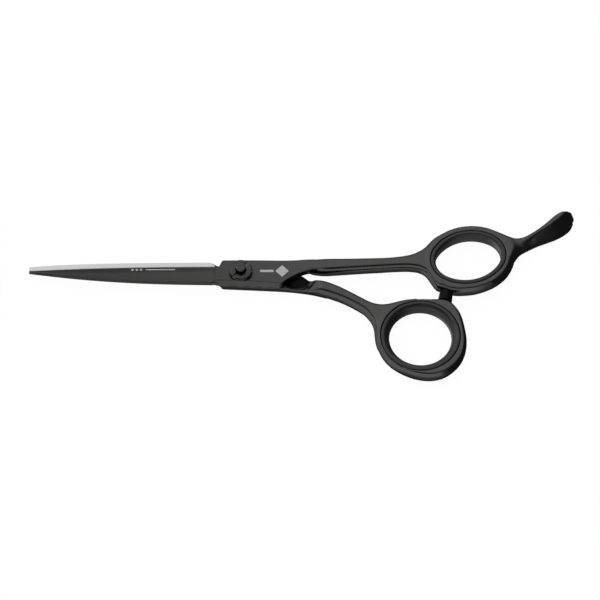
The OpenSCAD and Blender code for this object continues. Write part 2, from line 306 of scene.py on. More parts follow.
def combine(obj, tool, operation):
    """Boolean of obj with tool, which is used up."""
    mod = obj.modifiers.new("cut", "BOOLEAN")
    mod.operation = operation
    mod.solver = "MANIFOLD"
    mod.object = tool
    bpy.context.view_layer.update()
    dg = bpy.context.evaluated_depsgraph_get()
    mesh = bpy.data.meshes.new_from_object(obj.evaluated_get(dg))
    obj.modifiers.clear()
    obj.data = mesh
    bpy.data.objects.remove(tool)


def turned(name, profile, steps=96):
    """Solid of revolution about the pivot, from (radius, height) points going up."""
    a = 2 * np.pi * np.arange(steps) / steps
    rings = [np.stack([r * np.cos(a), r * np.sin(a), np.full(steps, h)], 1) for r, h in profile]
    return loft(name, rings)


def cut_round(obj, r, z0, z1, steps=96):
    """Cuts a round or square hole about the pivot axis."""
    combine(obj, turned("cutter", [(r, z0), (r, z1)], steps), "DIFFERENCE")


# ------------------------------------------------------------------ the halves
SHANK = dict(side=1.9, crown=SHANK_HALF, power=2.15)
RING = dict(side=1.55, crown=RING_HALF, power=2.1)

finger_bar = Outline(np.concatenate([
    smooth_curve([(18.5, 4.2), (20, 4.6), (22, 5.0), (25, 5.35), (28, 5.5), (34, 5.55),
                  (40.6, 5.7), (46, 5.88), (50, 6.3), (52, 6.65), (53.8, 7.1), (55.7, 7.95), (57.6, 9.2),
                  (59.5, 11.1), (61.4, 12.9), (64, 14.2)]),
    smooth_curve([(66, 1.0), (63.6, -4.6), (62.0, -5.3), (60.9, -4.3), (59.5, -1.8), (58.6, -0.6),
                  (57.4, 0.55), (55.7, 1.35), (53.8, 1.65), (52, 1.75), (48.2, 1.62), (44.4, 1.35),
                  (38.8, 1.0), (34, 0.65), (29.5, 0.3), (26.5, 0.15), (24, 0.35), (22, 0.85),
                  (20.3, 1.9), (18.8, 3.2)])]))
finger_base = Outline(np.concatenate([
    [(-HEEL, -3.75), (-HEEL, 1.6), (-7.3, 1.85), (-6.95, 2.3), (-6.3, 3.85), (-5.8, 4.2)],
    smooth_curve([(-3, 4.2), (5, 4.2), (13, 4.1), (17, 4.2), (20, 4.35), (23, 4.3), (26, 3.8),
                  (29, 3.1)]),
    smooth_curve([(29, 2.2), (25, 1.4), (21.8, 0.5), (18.7, -0.55), (15.6, -2.3), (13.2, -4.3),
                  (11.9, -5.05)]),
    smooth_curve([(10, -4.85), (0, -4.3), (-6.3, -4.05)])]))
finger_top = Outline(np.concatenate([
    [(-HEEL + 0.3, -3.2), (-HEEL + 0.3, 1.5), (-7.05, 1.75), (-6.7, 2.25), (-6.05, 3.75),
     (-5.6, 4.1)],
    smooth_curve([(-3, 4.15), (5, 4.15), (13, 4.05), (17, 4.15), (20, 4.3), (23, 4.25), (26, 3.7),
                  (29, 3.0)]),
    smooth_curve([(29, 2.3), (25, 1.6), (21.8, 0.7), (18.7, -0.4), (15.6, -2.15), (13.0, -4.0),
                  (12.2, -4.25)]),
    smooth_curve([(10, -3.95), (0, -3.35), (-6, -3.15)])]))
finger_ring = Outline(smooth_curve([
    (58.4, 5.2), (58.8, 8.4), (60.1, 11.2), (61.7, 13.0), (63.3, 14.3), (65.2, 15.55), (67, 16.35),
    (69, 17.0), (71, 17.35), (73.3, 17.5), (75.8, 17.3), (77.7, 16.9), (79.6, 16.25),
    (81.6, 15.3), (83.6, 14.1), (85.6, 12.4), (87.1, 9.6), (86.7, 5.8), (85.5, 2.0), (83.9, -0.7),
    (82.0, -2.6), (79.9, -4.05), (77.8, -5.1), (75.8, -5.9), (73.5, -6.55), (70.8, -6.9),
    (67.5, -6.95), (64.5, -6.2), (61.9, -4.6), (60.0, -2.2), (58.9, 0.6)], closed=True))

thumb_bar = Outline(np.concatenate([
    smooth_curve([(20.2, -2.0), (22.0, -2.05), (24, -2.3), (26, -2.55), (28, -3.2),
                  (31.2, -4.65), (35, -6.8), (38.8, -9.1), (40.6, -10.1), (42.5, -10.8),
                  (44.4, -11.05), (46.3, -10.85), (48.2, -10.35), (50.1, -9.9), (52, -9.6),
                  (55, -9.5)]),
    [(58, -14.5), (46.5, -20)],
    smooth_curve([(45.5, -27), (43.3, -26.4), (42.5, -24.2), (42.15, -22), (41.75, -19.8),
                  (41.1, -17.6), (39.9, -15.6), (38.4, -13.9), (35, -11.6), (31.2, -9.55),
                  (27.4, -8.05), (24.5, -7.1), (22.0, -6.2), (20.2, -5.7)])]))
thumb_plate = Outline(np.concatenate([
    [(-HEEL - 0.8, -2.3), (-HEEL - 0.8, 1.7), (-7.3, 1.85), (-6.95, 2.3), (-6.3, 3.75),
     (-5.8, 4.1)],
    smooth_curve([(-3, 4.15), (5, 4.1), (10.5, 4.0), (13.2, 3.6), (15.6, 2.7), (18, 1.35),
                  (20.1, -0.1), (21.2, -1.2), (22.4, -2.1), (23.7, -2.6), (27, -3.6)]),
    smooth_curve([(27, -7.3), (23.7, -6.4), (21, -5.85), (18, -5.4), (12.4, -4.85), (0, -4.2),
                  (-5.4, -3.95)]),
    [(-6.0, -3.7), (-6.8, -2.7), (-7.6, -2.35)]]))
thumb_ring = Outline(smooth_curve([
    (70.65, -24.2), (70.55, -22.0), (70.25, -19.8), (69.85, -17.6), (69.35, -15.6), (68.6, -13.7),
    (67.3, -11.7), (65.9, -10.3), (64.0, -9.45), (61.8, -9.3), (59.5, -9.35), (57.0, -9.3),
    (54.5, -9.45), (51.5, -10.1), (48.5, -11.4), (45.8, -13.6), (43.7, -16.5), (42.6, -19.3),
    (42.2, -22.0), (42.4, -24.5), (42.95, -26.6), (43.8, -28.8), (45.0, -30.8), (46.5, -32.5),
    (48.2, -33.9), (50.1, -35.1), (52.0, -36.05), (53.9, -36.8), (55.8, -37.25), (57.6, -37.5),
    (59.5, -37.5), (61.4, -37.2), (63.3, -36.55), (65.2, -35.4), (67.0, -33.8), (68.6, -31.8),
    (69.7, -29.6), (70.4, -27.0)], closed=True))

FINGER_SEAT, THUMB_SEAT = 1.27, 2.27    # throat to the wall that holds the insert
LIP, LIP_Z = 0.53, 1.93                 # the insert's lips: width past the seat, height of their floor


def ring_seat(out, z, seat):
    """Room for a rubber insert: its seat and a rebate in both faces."""
    rebate = np.maximum(out - seat - LIP, LIP_Z - np.abs(z))
    return np.minimum(out - seat, rebate)


def plate(base, top, x, y, z, z_base, z_top, edge=0.2):
    """Slab between two heights whose outline changes evenly from base to top."""
    t = np.clip((z - z_base) / (z_top - z_base), 0, 1)
    side = base(x, y) * (1 - t) + top(x, y) * t
    lo, hi = min(z_base, z_top), max(z_base, z_top)
    outer = z - hi if z_top > z_base else lo - z
    inner = lo - z if z_top > z_base else z - hi
    return np.maximum(soft_max(side, outer, edge), inner)


# Finger rest: centre line, half width, half thickness and twist of its sections
REST = np.array([
    # x, y, z, half width, half thickness, twist in degrees
    (80.5, 9.0, 0.0, 4.0, 2.1, 0),
    (83.4, 9.45, 0.0, 3.7, 2.0, 4),
    (86.3, 10.0, 0.05, 3.15, 1.85, 10),
    (88.8, 10.75, 0.1, 2.55, 1.6, 20),
    (91.1, 11.75, 0.15, 2.3, 1.35, 33),
    (93.5, 13.0, 0.3, 2.45, 1.2, 42),
    (96.6, 14.8, 0.3, 2.95, 1.1, 44),
    (99.1, 16.45, 0.25, 3.4, 1.05, 43),
    (101.1, 18.05, 0.25, 3.65, 1.0, 42),
    (102.6, 19.35, 0.3, 3.6, 0.95, 42),
    (103.7, 20.4, 0.3, 3.15, 0.85, 42),
    (104.5, 21.05, 0.3, 2.45, 0.75, 42),
    (105.0, 21.35, 0.3, 1.7, 0.7, 42),
])


REST_FROM = (79, 5.5)       # the rest lies above both of these in X and Y
REST_POWER = 2.6            # squareness of its sections
REST_CAP = 0.6              # how far its rounded end reaches past the last section
REST_HOLLOW = 0.3           # depth of the hollow in its front face at full twist
FAR = 6.0                   # distance given to points that aren't worked out


def finger_rest(x, y, z):
    """Twisted paddle with a slightly hollow front face."""
    x, y, z = np.broadcast_arrays(x, y, z)
    shape = x.shape
    p = np.stack([x.ravel(), y.ravel(), z.ravel()], 1)
    near = np.nonzero((p[:, 0] > REST_FROM[0]) & (p[:, 1] > REST_FROM[1]))[0]
    out = np.full(len(p), FAR)
    if len(near) == 0:
        return out.reshape(shape)
    q = p[near]
    line = smooth_curve(REST, spacing=0.9)
    best = np.full(len(q), 1e9)
    value = np.full(len(q), FAR)
    for a, b in zip(line[:-1], line[1:]):
        ab = b[:3] - a[:3]
        length = np.linalg.norm(ab)
        t = ((q - a[:3]) @ ab / length ** 2).clip(0, 1)
        rel = q - a[:3] - t[:, None] * ab
        far = (rel * rel).sum(1)
        size = a[3:] + t[:, None] * (b - a)[3:]
        along = ab / length
        flat = np.cross((0, 0, 1), along)
        flat /= np.linalg.norm(flat)
        up = np.cross(along, flat)
        twist = np.radians(size[:, 2])
        wide = rel @ flat * np.cos(twist) + rel @ up * np.sin(twist)
        deep = rel @ up * np.cos(twist) - rel @ flat * np.sin(twist)
        deep = deep + np.sin(twist) * REST_HOLLOW * (1 - (wide / size[:, 0]) ** 2).clip(0)
        total = (np.abs(wide / size[:, 0]) ** REST_POWER + np.abs(deep / size[:, 1]) ** REST_POWER
                 + np.abs(rel @ along / REST_CAP) ** REST_POWER)
        f = (total ** (1 / REST_POWER) - 1) * size[:, 1]
        closer = far < best
        best = np.where(closer, far, best)
        value = np.where(closer, f, value)
    out[near] = value
    return out.reshape(shape)


# How far the parts of a half run into each other, and how round its edges are
FINGER_BLOCK_FILLET, THUMB_BLOCK_FILLET = 0.9, 0.35
RING_FILLET, REST_FILLET = 1.0, 2.0
SHANK_EDGE, RING_EDGE, SEAT_EDGE, RELIEF_EDGE = 0.1, 0.25, 0.2, 0.5

SIDE_FROM, SIDE_TO, SIDE_GROWTH = 79, 85, 1.4    # the finger ring grows rounder towards the rest

# Relief behind the pivot block, where the thumb half shows: a ramp to the shank and a scoop
RAMP_TOP_X, RAMP_SLOPE, RAMP_LEVEL = 25.0, 0.62, 0.85
SCOOP_CENTRE, SCOOP_SIZE = (17.9, -1.5, 3.4), (5.9, 5.9, 5.0)


def finger_field(x, y, z):
    bar = pillow(finger_bar(x, y), z, **SHANK)
    block = plate(finger_base, finger_top, x, y, z, RIDE, FRONT)
    side = RING["side"] + SIDE_GROWTH * np.clip((x - SIDE_FROM) / (SIDE_TO - SIDE_FROM), 0, 1)
    ring = pillow(finger_ring(x, y), z, side, RING_HALF, RING["power"])
    body = soft_min(bar, block, FINGER_BLOCK_FILLET)
    body = soft_max(body, np.abs(z) - SHANK_HALF, SHANK_EDGE)
    body = soft_min(body, ring, RING_FILLET)
    body = soft_min(body, finger_rest(x, y, z), REST_FILLET)
    body = soft_max(body, np.abs(z) - RING_HALF, RING_EDGE)
    return soft_max(body, -ring_seat(oval_distance(x, y), z, FINGER_SEAT), SEAT_EDGE)


def thumb_field(x, y, z):
    bar = pillow(thumb_bar(x, y), z, **SHANK)
    block = plate(thumb_plate, thumb_plate, x, y, z, -RIDE, BACK)
    ring = pillow(thumb_ring(x, y), z, **RING)
    body = soft_min(bar, block, THUMB_BLOCK_FILLET)
    ramp_top = np.maximum(SHANK_HALF - RAMP_SLOPE * (RAMP_TOP_X - x), -RIDE)
    body = soft_max(body, RAMP_LEVEL * (z - ramp_top), RELIEF_EDGE)
    scoop = sum(((v - c) / s) ** 2 for v, c, s in zip((x, y, z), SCOOP_CENTRE, SCOOP_SIZE))
    body = soft_max(body, (1 - np.sqrt(scoop)) * SCOOP_SIZE[2], RELIEF_EDGE)
    body = soft_min(body, ring, RING_FILLET)
    body = soft_max(body, np.abs(z) - RING_HALF, RING_EDGE)
    return soft_max(body, -ring_seat(circle_distance(x, y), z, THUMB_SEAT), SEAT_EDGE)


# ------------------------------------------------------------------ the blades
HEEL_T, TIP_T = 1.5, 0.75    # blade thickness at the pivot and at the tip
NOSE = 0.985                 # past this share of its length the blade thins to its tip
NOSE_THINNING = 0.6
ROOT = 1.5                   # how far the blade runs into its block
EDGE_BEVEL, WIDE_BEVEL, SPINE_ROUND, HOLLOW = 0.34, 2.65, 0.75, 0.12


def blade(name, edge, spine, side):
    """Ground blade: hollow inner face, edge bevel, wide bevel, flat and rounded spine.

    edge and spine give Y from f, the share of the way from the pivot to the tip.
    """
    sections = []
    along = np.linspace(HEEL - ROOT, REACH - 1.4, 60) / REACH
    for f in np.unique(np.concatenate([[NOSE, 0.995, 1.0], along])):
        e, s = edge(f), spine(f)
        turn = 1 if e > s else -1
        w = abs(e - s)
        t = HEEL_T + (TIP_T - HEEL_T) * f
        if f > NOSE:
            t *= 1 - NOSE_THINNING * (f - NOSE) / (1 - NOSE)
        in_block = f * REACH < HEEL - 0.2     # there it keeps clear of the block's own faces
        low = 0.3 if in_block else 0.0
        tuck = 0.2 if in_block else 0.0
        micro = min(EDGE_BEVEL, 0.22 * w)
        bevel = min(WIDE_BEVEL, 0.46 * w + 0.12)
        crown = min(SPINE_ROUND, 0.22 * w)
        hollow = min(HOLLOW, 0.03 * w)
        profile = [
            (tuck, low), (tuck, low + 0.05), (tuck + micro, 0.27 + low * 0.5), (bevel, t),
            (w - crown - tuck, t), (w - 0.5 * crown - tuck, t - 0.10),
            (w - 0.12 * crown - tuck, t - 0.34), (w - tuck, 0.5 * t), (w - 0.04 - tuck, low + 0.16),
            (w - 0.2 * crown - tuck, low), (w - 0.9 * crown - tuck, low),
            (0.6 * w, low + hollow), (0.4 * w, low + hollow), (tuck + micro * 1.4, low)]
        sections.append([(-f * REACH, e - turn * a, side * (RIDE + h)) for a, h in profile])
    return loft(name, sections)


# The blades' edges and spines, from the pivot (f = 0) to the tips (f = 1)
def finger_edge(f):
    return 3.2 - 1.6 * f ** 2.6


def finger_spine(f):
    return -3.83 + 4.2 * f ** 2.6


def thumb_spine(f):
    near_heel = max(0, 0.15 - f) / 0.045
    return 4.78 - 1.2 * f ** 2.6 - 0.55 * f ** 9 - near_heel


def thumb_edge(f):
    return -2.4 + 3.5 * f ** 1.5


# ------------------------------------------------------------ material helpers
def node(tree, kind, inputs=None, **props):
    """Adds a shader node; inputs are values or sockets to link."""
    n = tree.nodes.new("ShaderNode" + kind)
    for key, value in props.items():
        setattr(n, key, value)
    for key, value in (inputs or {}).items():
        if isinstance(value, bpy.types.NodeSocket):
            tree.links.new(value, n.inputs[key])
        else:
            n.inputs[key].default_value = value
    return n


def calc(tree, operation, a, b=0.0):
    return node(tree, "Math", {0: a, 1: b}, operation=operation).outputs[0]


def ramp(tree, value, low, high, out_low=0.0, out_high=1.0):
    """Smooth change from out_low to out_high as value goes from low to high."""
    n = node(tree, "MapRange", {"Value": value, "From Min": low, "From Max": high,
                                "To Min": out_low, "To Max": out_high},
             interpolation_type="SMOOTHSTEP")
    return n.outputs["Result"]


def blend(tree, factor, a, b):
    """Colour that goes from a to b with the factor."""
    n = node(tree, "Mix", {"Factor": factor}, data_type="RGBA")
    for slot, value in (("A", a), ("B", b)):
        socket = next(i for i in n.inputs if i.name == slot and i.type == "RGBA")
        if isinstance(value, bpy.types.NodeSocket):
            tree.links.new(value, socket)
        else:
            socket.default_value = value
    return next(o for o in n.outputs if o.type == "RGBA")


def grey(v, warm=0.0):
    """Neutral colour, or a slightly warm one."""
    return (v * (1 + warm), v, v * (1 - warm), 1)


def noise(tree, place, scale, stretch=(1, 1, 1), detail=3.0):
    mapped = node(tree, "Mapping", {"Vector": place, "Scale": stretch}).outputs[0]
    n = node(tree, "TexNoise", {"Vector": mapped, "Scale": scale, "Detail": detail})
    return n.outputs["Fac"]


def start(name):
    """New material, with its node tree and the point on the piece that is being coloured."""
    mat = bpy.data.materials.new(name)
    mat.use_nodes = True
    tree = mat.node_tree
    tree.nodes.clear()
    place = node(tree, "TexCoord").outputs["Object"]
    return mat, tree, place


def end(tree, bump, strength, distance, **inputs):
    """Closes a material: its inputs, and a fine bump of this height field."""
    raised = node(tree, "Bump", {"Height": bump, "Strength": strength, "Distance": distance})
    values = {key.replace("_", " "): value for key, value in inputs.items()}
    shader = node(tree, "BsdfPrincipled", values | {"Normal": raised.outputs[0]})
    node(tree, "OutputMaterial", {"Surface": shader.outputs[0]})


def mark_mask(tree, place):
    """Plain printed marks: a bar and a diamond on the block, three diamonds and a bar on the blade."""
    x, y, z = node(tree, "SeparateXYZ", {0: place}).outputs

    def away(value, middle, half):
        offset = calc(tree, "ABSOLUTE", calc(tree, "SUBTRACT", value, middle * MM))
        return calc(tree, "DIVIDE", offset, half * MM)

    shapes = [
        # centre x, centre y, half length, half width, joined as
        (13.0, 0.2, 2.1, 2.1, "ADD"),
        (8.2, 0.2, 2.1, 0.42, "MAXIMUM"),
        *[(-34.2 + 1.35 * k, 1.62, 0.5, 0.5, "ADD") for k in range(3)],
        (-25.4, 1.62, 4.6, 0.2, "MAXIMUM"),
    ]
    total = 0.0
    for cx, cy, half_x, half_y, join in shapes:
        reach = calc(tree, join, away(x, cx, half_x), away(y, cy, half_y))
        total = calc(tree, "MAXIMUM", total, ramp(tree, reach, 1.06, 0.94))
    on_front = ramp(tree, z, 0.3 * MM, 0.5 * MM)
    return calc(tree, "MULTIPLY", total, on_front)


def coated_steel(name, marks=False, tone=1.0):
    """Black coated steel: satin flats, glossier sides, edges lightened as rubbed coating and painted
    highlight, paler towards the handles.
    """
    mat, tree, place = start(name)
    geometry = node(tree, "NewGeometry")
    normal = node(tree, "SeparateXYZ", {0: geometry.outputs["Normal"]})
    flat = ramp(tree, calc(tree, "ABSOLUTE", normal.outputs[2]), 0.86, 0.985)
    cloud = noise(tree, place, 260)
    streak = noise(tree, place, 1.0, (900, 9000, 900), 2.0)
    grain = noise(tree, place, 9000)
    # Convex edges are lightened: partly rubbed coating, partly a painted highlight along the edges.
    edge = ramp(tree, geometry.outputs["Pointiness"], 0.51, 0.60)
    worn_and_highlit_edge = calc(tree, "MULTIPLY", edge, ramp(tree, cloud, 0.35, 0.7, 0.15, 0.5))
    along = ramp(tree, node(tree, "SeparateXYZ", {0: place}).outputs[0], -0.06, 0.05, 0.7, 1.28)
    base = grey(0.062 * tone, 0.012)
    base = blend(tree, calc(tree, "MULTIPLY", streak, 0.25), base, grey(0.045 * tone))
    base = node(tree, "VectorMath", {0: base, 3: along}, operation="SCALE").outputs[0]
    base = blend(tree, worn_and_highlit_edge, base, grey(0.17, 0.03))
    rough = calc(tree, "ADD", ramp(tree, flat, 0, 1, 0.2, 0.36),
                 ramp(tree, cloud, 0.3, 0.7, -0.04, 0.05))
    metallic = 1.0
    if marks:
        mask = mark_mask(tree, place)
        base = blend(tree, mask, base, grey(0.62))
        rough = calc(tree, "ADD", rough, calc(tree, "MULTIPLY", mask, 0.3))
        metallic = calc(tree, "SUBTRACT", 1.0, mask)
    height = calc(tree, "ADD", grain, streak)
    end(tree, height, 0.12, 0.000006, Base_Color=base, Metallic=metallic, Roughness=rough,
        Specular_Tint=grey(0.45))
    return mat


def ground_steel(name, tone=0.57, stretch=(9000, 500, 500)):
    """Bare ground steel with fine grinding lines across the blade."""
    mat, tree, place = start(name)
    lines = noise(tree, place, 1.0, stretch)
    cloud = noise(tree, place, 150)
    base = blend(tree, ramp(tree, lines, 0.35, 0.65), grey(tone * 0.92, 0.01), grey(tone, 0.01))
    rough = calc(tree, "ADD", ramp(tree, lines, 0.3, 0.7, 0.2, 0.3),
                 ramp(tree, cloud, 0.3, 0.7, 0, 0.06))
    end(tree, lines, 0.15, 0.000004, Base_Color=base, Metallic=1.0, Roughness=rough)
    return mat


def rubber(name, tone, rough, sheen, gloss):
    """Soft black rubber; gloss is the strength of its clear reflection."""
    mat, tree, place = start(name)
    skin = noise(tree, place, 7000, detail=2)
    cloud = noise(tree, place, 300)
    base = blend(tree, cloud, grey(tone * 0.8), grey(tone * 1.25))
    r = calc(tree, "ADD", rough, ramp(tree, cloud, 0.3, 0.7, -0.05, 0.08))
    end(tree, skin, 0.2, 0.00001, Base_Color=base, Roughness=r, Sheen_Weight=sheen,
        Sheen_Roughness=0.4, Specular_IOR_Level=gloss)
    return mat


def moulded(name, colour, rough=0.45, metallic=0.0):
    """Plain nylon or bronze with faint clouds."""
    mat, tree, place = start(name)
    cloud = noise(tree, place, 900)
    skin = noise(tree, place, 8000)
    dark = tuple(c * 0.8 for c in colour[:3]) + (1,)
    end(tree, skin, 0.15, 0.000006, Base_Color=blend(tree, cloud, dark, colour),
        Metallic=metallic, Roughness=ramp(tree, cloud, 0.3, 0.7, rough - 0.06, rough + 0.08))
    return mat


COATED = coated_steel("black_coated_steel", marks=True)
COATED_SMALL = coated_steel("black_coated_steel_small", tone=0.9)
GROUND = ground_steel("ground_steel")
TURNED = ground_steel("turned_steel", 0.5, (3000, 3000, 3000))
RUBBER = rubber("ring_rubber", 0.008, 0.33, 0.04, 0.5)
STOP = rubber("bumper_rubber", 0.003, 0.4, 0.0, 0.08)
NYLON = moulded("natural_nylon", (0.78, 0.76, 0.7, 1))
BRONZE = moulded("bush_bronze", (0.55, 0.36, 0.16, 1), 0.35, 1.0)


def place_piece(obj, body, materials, cad_node):
    """Gives a piece its materials and its body, in place of the CAD node."""
    obj.data.materials.clear()
    for m in materials:
        obj.data.materials.append(m)
    count = len(obj.data.polygons)
    obj.data.polygons.foreach_set("material_index", [0] * count)
    obj.data.polygons.foreach_set("use_smooth", [True] * count)
    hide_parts(cad_node)
    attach(obj, body)


def sharpen(obj, degrees, where=None):
    """Marks edges steeper than the angle as sharp, where where(x, y, z) in mm is true."""
    bm = bmesh.new()
    bm.from_mesh(obj.data)
    limit = math.radians(degrees)
    for e in bm.edges:
        if len(e.link_faces) == 2 and e.calc_face_angle() > limit:
            mid = (e.verts[0].co + e.verts[1].co) / 2 / MM
            if where is None or where(*mid):
                e.smooth = False
    bm.to_mesh(obj.data)
    bm.free()


# ------------------------------------------------------------------- the halves
def has_sharp_edges(x, y, z):
    """The blades and the seats about the pivot; the rest of a half is smooth."""
    return x < -HEEL - 0.3 or math.hypot(x, y) < WASHER_R + 0.4


def split_across(obj, x):
    """Runs a straight line of edges around the mesh at x, for a material to end on."""
    bm = bmesh.new()
    bm.from_mesh(obj.data)
    bmesh.ops.bisect_plane(bm, geom=bm.verts[:] + bm.edges[:] + bm.faces[:],
                           plane_co=(x * MM, 0, 0), plane_no=(1, 0, 0))
    bm.to_mesh(obj.data)
    bm.free()


def finish_half(obj, side, body, cad_node):
    """Materials of a half: coated all over, bare on the blade's inner face and cutting edge."""
    split_across(obj, -HEEL)
    place_piece(obj, body, [COATED, GROUND], cad_node)
    sharpen(obj, 17, has_sharp_edges)
    edge = finger_edge if side > 0 else thumb_edge
    for poly in obj.data.polygons:
        c = poly.center / MM
        if c.x > -HEEL:
            continue
        outward = poly.normal.z * side
        inner = outward < -0.9 and abs(c.z) < 0.3
        on_edge = abs(c.y - edge(-c.x / REACH)) < EDGE_BEVEL + 0.02 and abs(c.z) < 0.34
        if inner or (on_edge and outward > 0):
            poly.material_index = 1


PAST = 5        # well past the faces of both halves

finger = mesh_field("finger_half_forging", finger_field, (-10.0, -8.4, -3.2), (106.5, 24.0, 3.2))
combine(finger, blade("blade", finger_edge, finger_spine, 1), "UNION")
cut_round(finger, FLANGE_R - 0.55, -1, PAST)                    # bush bore
cut_round(finger, FLANGE_R + 0.05, FLANGE_TOP - 0.3, PAST)      # bush flange, spring and nut
finish_half(finger, 1, "finger_side", "finger_half")

thumb = mesh_field("thumb_half_forging", thumb_field, (-10.5, -38.6, -3.2), (72.0, 5.5, 3.2))
combine(thumb, blade("blade", thumb_edge, thumb_spine, -1), "UNION")
cut_round(thumb, WASHER_R + 0.1, WASHER_FLOOR, 1)               # glide washer recess
cut_round(thumb, HEAD_R + 0.05, -PAST, BOLT_LO[2] + 0.8)        # bolt head recess
cut_round(thumb, 3.0, -PAST, PAST, steps=4)                     # square hole for the bolt's neck
finish_half(thumb, -1, "thumb_side", "thumb_half")


# ----------------------------------------------------------------- ring inserts
def insert_section(flare, seat):
    """Section of a ring insert: flared throat, bead and the lips that grip the ring."""
    lip = seat + LIP - 0.07
    upper = [(0.0, 0.0)] + flare + [(lip - 0.42, 2.49), (lip - 0.2, 2.44), (lip - 0.05, 2.27),
                                    (lip, 2.05), (lip - 0.04, 1.985), (seat - 0.02, 1.97)]
    lower = [(o, -h) for o, h in reversed(upper[1:])]
    middle = [(seat - 0.02, 0.0)]
    return smooth_curve(upper, 0.18).tolist() + middle + smooth_curve(lower, 0.18).tolist()


FINGER_FLARE = [(0.02, 0.9), (0.08, 1.5), (0.2, 2.0), (0.38, 2.28), (0.62, 2.44), (0.95, 2.5)]
THUMB_FLARE = [(0.02, 0.45), (0.14, 0.95), (0.38, 1.4), (0.72, 1.8), (1.12, 2.12), (1.55, 2.36),
               (1.95, 2.49)]


def oval_ring(name, section, steps=40):
    """Sweeps a section around the finger ring's throat."""
    arcs = [((THROAT_A - END_R, 0), END_R, -JOIN, JOIN),
            ((0, THROAT_B - SIDE_R), SIDE_R, JOIN, math.pi - JOIN),
            ((END_R - THROAT_A, 0), END_R, math.pi - JOIN, math.pi + JOIN),
            ((0, SIDE_R - THROAT_B), SIDE_R, math.pi + JOIN, 2 * math.pi - JOIN)]
    rings = []
    for centre, r, a0, a1 in arcs:
        for k in range(steps):
            a = a0 + (a1 - a0) * k / steps
            ring = []
            for out, h in section:
                u = centre[0] + (r + out) * math.cos(a)
                v = centre[1] + (r + out) * math.sin(a)
                ring.append((FINGER[0] + u * math.cos(TILT) - v * math.sin(TILT),
                             FINGER[1] + u * math.sin(TILT) + v * math.cos(TILT), h))
            rings.append(ring)
    return loft(name, rings, closed=True)


finger_insert = oval_ring("finger_ring_liner", insert_section(FINGER_FLARE, FINGER_SEAT))
place_piece(finger_insert, "finger_side", [RUBBER], "finger_ring_insert")
thumb_insert = lathe("thumb_ring_liner",
                     [(THROAT_R + o, h) for o, h in insert_section(THUMB_FLARE, THUMB_SEAT)],
                     (THUMB[0], THUMB[1], 0), steps=160)
place_piece(thumb_insert, "thumb_side", [RUBBER], "thumb_ring_insert")


# --------------------------------------------------------------------- bumper
LEAN = math.radians(9)
BUMP_R, BUMP_TOP_R = 2.25, 1.95
STUD_HOLE_R, STUD_HOLE_TOP = 1.05, 2.5
lean_dir = np.array([math.sin(LEAN), math.cos(LEAN), 0])
bumper_base = centre_mm("bumper_stud") + 0.55 * lean_dir
bump_rise = box_mm("bumper_cap")[1][1] - bumper_base[1] - BUMP_TOP_R * math.sin(LEAN)
bump_h = bump_rise / math.cos(LEAN)
stop_profile = rounded(
    [(STUD_HOLE_R, STUD_HOLE_TOP), (STUD_HOLE_R, 0.0), (BUMP_R, 0.0), (BUMP_R - 0.1, 0.55 * bump_h),
     (BUMP_TOP_R, bump_h), (0.01, bump_h), (0.01, STUD_HOLE_TOP)],
    [0, 0, 0.12, 1.0, 0.35, 0, 0])
stop = lathe("bumper", stop_profile, bumper_base, lean_dir, steps=64)
place_piece(stop, "thumb_side", [STOP], "bumper_cap")
sharpen(stop, 40)


# -------------------------------------------------------------- pivot hardware
BORE_R = 1.64
SPIGOT_R = 3.0               # the nut's lower part, inside the block
top = NUT_HI[2]
rim = FRONT + 0.225          # underside of the nut's wide part
nut = lathe("slotted_nut", [
    (BORE_R, NUT_LO[2]), (SPIGOT_R - 0.1, NUT_LO[2]), (SPIGOT_R, NUT_LO[2] + 0.1), (SPIGOT_R, rim),
    (NUT_R - 0.16, rim), (NUT_R - 0.04, rim + 0.05), (NUT_R, rim + 0.16), (NUT_R, top - 0.4),
    (NUT_R - 0.06, top - 0.24), (NUT_R - 0.2, top - 0.13), (NUT_R - 0.5, top - 0.05),
    (NUT_R - 0.9, top - 0.01), (2.3, top), (BORE_R + 0.16, top), (BORE_R, top - 0.12)], steps=128)

SLOT_TURN = math.radians(49)
SLOT_HALF, SLOT_DEPTH, SLOT_ROUND = 0.5, 0.55, 0.12
slot_section = rounded([(-SLOT_HALF, 1.5), (-SLOT_HALF, -SLOT_DEPTH), (SLOT_HALF, -SLOT_DEPTH),
                        (SLOT_HALF, 1.5)], [0, SLOT_ROUND, SLOT_ROUND, 0], 3)
slot_ends = [[(x * math.cos(SLOT_TURN) - y * math.sin(SLOT_TURN),
               x * math.sin(SLOT_TURN) + y * math.cos(SLOT_TURN), top + z) for y, z in slot_section]
             for x in (-6, 6)]
combine(nut, loft("slot", slot_ends), "DIFFERENCE")
place_piece(nut, "nut", [COATED_SMALL], "tension_nut")
sharpen(nut, 28)

back, tip = BOLT_LO[2], BOLT_HI[2]
JOURNAL_R, THREAD_R, SHOULDER = 2.0, 1.6, 1.5
bolt = turned("pivot_screw", [
    (0.35, back + 0.12), (0.5, back + 0.04), (0.62, back), (HEAD_R - 0.22, back),
    (HEAD_R - 0.06, back + 0.06), (HEAD_R, back + 0.22), (HEAD_R, back + 0.78),
    (JOURNAL_R + 0.05, back + 0.78), (JOURNAL_R, back + 0.84), (JOURNAL_R, SHOULDER - 0.05),
    (JOURNAL_R - 0.1, SHOULDER), (THREAD_R, SHOULDER), (THREAD_R, tip - 0.22), (1.52, tip - 0.08),
    (1.34, tip - 0.01), (0.9, tip), (0.5, tip - 0.01), (0.3, tip - 0.06)])
place_piece(bolt, "thumb_side", [COATED_SMALL], "pivot_bolt")
sharpen(bolt, 28)

